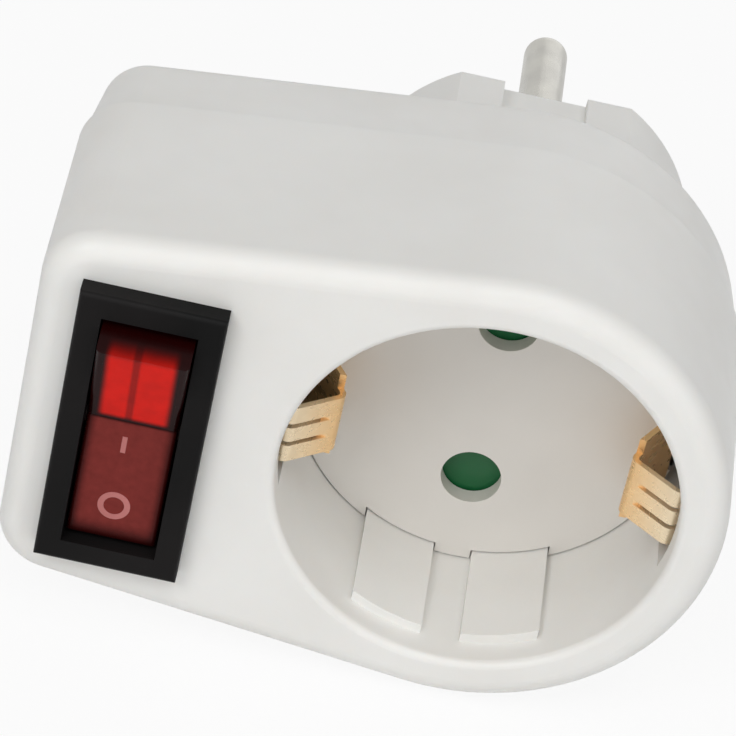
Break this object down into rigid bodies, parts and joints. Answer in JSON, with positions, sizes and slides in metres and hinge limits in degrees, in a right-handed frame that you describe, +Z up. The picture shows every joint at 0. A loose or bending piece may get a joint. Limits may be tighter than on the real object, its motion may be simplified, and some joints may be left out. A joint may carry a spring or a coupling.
{
  "type": "switched plug adapter",
  "caption": "White plug-in adapter: round earthed plug with side contacts on the back, a shuttered round earthed socket on the front and a lit rocker switch beside it.",
  "frame": {"origin": "centre of the plug nose's end face, midway between the two plug pins", "axes": "+Y along the plug pins, away from the housing, so the front face looks along -Y; X along the housing with the switch at -X and the socket at +X; +Z up, along the line of the pins"},
  "size_m": [0.0709, 0.079, 0.05],
  "materials": {
    "white_plastic": "fine satin moulded, slightly warm white",
    "floor_plastic": "satin moulded, pale grey white",
    "green_plastic": "satin moulded",
    "insulator_plastic": "matt moulded",
    "pin_nickel": "nickel plated, drawn",
    "contact_brass": "rolled strip",
    "earth_brass": "bright bronze strip",
    "spring_steel": "plain wire and strip",
    "screw_steel": "zinc plated",
    "black_plastic": "satin moulded",
    "red_rocker": "clear red, polished",
    "lamp_glass": "clear glow lamp",
    "resistor_body": "lacquered",
    "brown_lead": "smooth insulation",
    "blue_lead": "smooth insulation"
  },
  "bodies": {
    "housing": {"front_housing": "white_plastic", "rear_housing": "white_plastic", "socket_floor": "floor_plastic", "shutter_spring": "spring_steel", "shutter_cover": "insulator_plastic", "contact_carrier": "insulator_plastic", "plug_pin_upper": "pin_nickel", "plug_pin_lower": "pin_nickel", "contact_upper": "contact_brass", "contact_lower": "contact_brass", "clamp_spring_upper": "spring_steel", "clamp_spring_lower": "spring_steel", "earth_clip_right": "earth_brass", "earth_clip_left": "earth_brass", "earth_bridge": "contact_brass", "plug_earth_right": "pin_nickel", "plug_earth_left": "pin_nickel", "neutral_link": "contact_brass", "switch_body": "black_plastic", "line_terminal": "contact_brass", "load_terminal": "contact_brass", "neutral_terminal": "contact_brass", "receptacle_line": "spring_steel", "receptacle_load": "spring_steel", "receptacle_neutral": "spring_steel", "live_lead": "brown_lead", "load_lead": "brown_lead", "neutral_lead": "blue_lead", "housing_screws": "screw_steel", "centre_screw": "screw_steel"},
    "rocker": {"rocker": "red_rocker", "plunger": "insulator_plastic", "plunger_spring": "spring_steel", "glow_lamp": "lamp_glass", "lamp_resistor": "resistor_body"},
    "contact_arm": {"contact_arm": "contact_brass"},
    "shutter": {"shutter": "green_plastic"}
  },
  "joints": [
    {"name": "rocker_tilt", "type": "hinge", "parent": "housing", "child": "rocker", "pos_m": [-0.0341, -0.0535, 0], "axis": [-1, 0, 0], "range_deg": [0, 22]},
    {"name": "contact_rock", "type": "hinge", "parent": "housing", "child": "contact_arm", "pos_m": [-0.0341, -0.0432, 0], "axis": [1, 0, 0], "range_deg": [0, 14]},
    {"name": "shutter_turn", "type": "hinge", "parent": "housing", "child": "shutter", "pos_m": [0, -0.0344, 0], "axis": [0, 1, 0], "range_deg": [0, 42], "stiffness_Nm_per_rad": 0.002, "springref_deg": -20.05, "deforming": ["shutter_spring"]}
  ],
  "couplings": [
    {"joint": "contact_rock", "follows": "rocker_tilt", "ratio": 0.63636}
  ]
}
